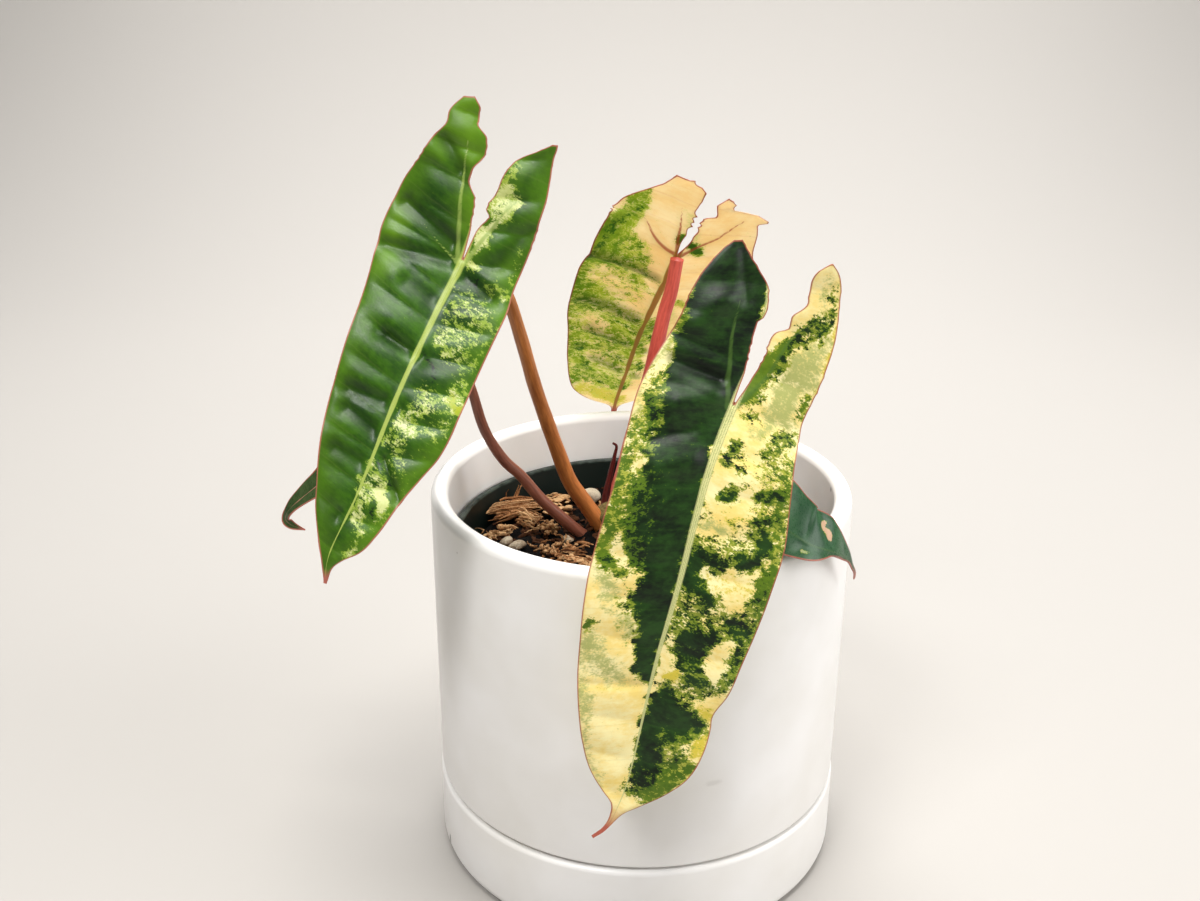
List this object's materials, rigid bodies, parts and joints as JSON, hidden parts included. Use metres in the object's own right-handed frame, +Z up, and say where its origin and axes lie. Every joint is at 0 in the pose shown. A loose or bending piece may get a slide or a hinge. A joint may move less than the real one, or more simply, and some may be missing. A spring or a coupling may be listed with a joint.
{
  "type": "potted philodendron",
  "caption": "Variegated arrow-leaf philodendron in bark mix and a nursery pot, inside a white cylinder pot that stands in a matching saucer.",
  "frame": {"origin": "middle of the saucer's flat underside, on the common axis of the saucer and both pots", "axes": "+Z up along the pots' axis, -Y towards the front of the plant, where the large cream-and-green leaf hangs over the rim, +X to the right seen from the front"},
  "size_m": [0.2146, 0.2219, 0.2888],
  "materials": {
    "white_ceramic": "satin white glaze",
    "nursery_plastic": "thin dark green-black moulded plastic",
    "bark_mix": "rough husk chips and fibre with perlite",
    "stem_bark": "rough, dry",
    "stalk_brown": "smooth, softly glossy, orange-brown",
    "stalk_red": "smooth, softly glossy, red",
    "stalk_mauve": "smooth, softly glossy, mauve-brown",
    "sheath_red": "smooth, dark red",
    "leaf_green": "waxy leaf, mid green with cream and yellow-green streaks",
    "leaf_cream_and_green": "waxy leaf, dark green with large cream areas and a pink-red margin",
    "leaf_underside": "matt leaf underside, cream with green mottling and red veins",
    "leaf_dark": "waxy leaf, dark green"
  },
  "bodies": {
    "root": {"saucer": "white_ceramic", "outer_pot": "white_ceramic", "nursery_pot": "nursery_plastic", "potting_mix": "bark_mix", "stem": "stem_bark", "stalk_left": "stalk_brown", "stalk_front": "stalk_brown", "stalk_back": "stalk_red", "stalk_right_low": "stalk_mauve", "stalk_left_low": "stalk_mauve", "new_leaf_sheath": "sheath_red", "blade_left": "leaf_green", "blade_front": "leaf_cream_and_green", "blade_back": "leaf_underside", "blade_right_low": "leaf_dark", "blade_left_low": "leaf_dark"}
  },
  "joints": []
}
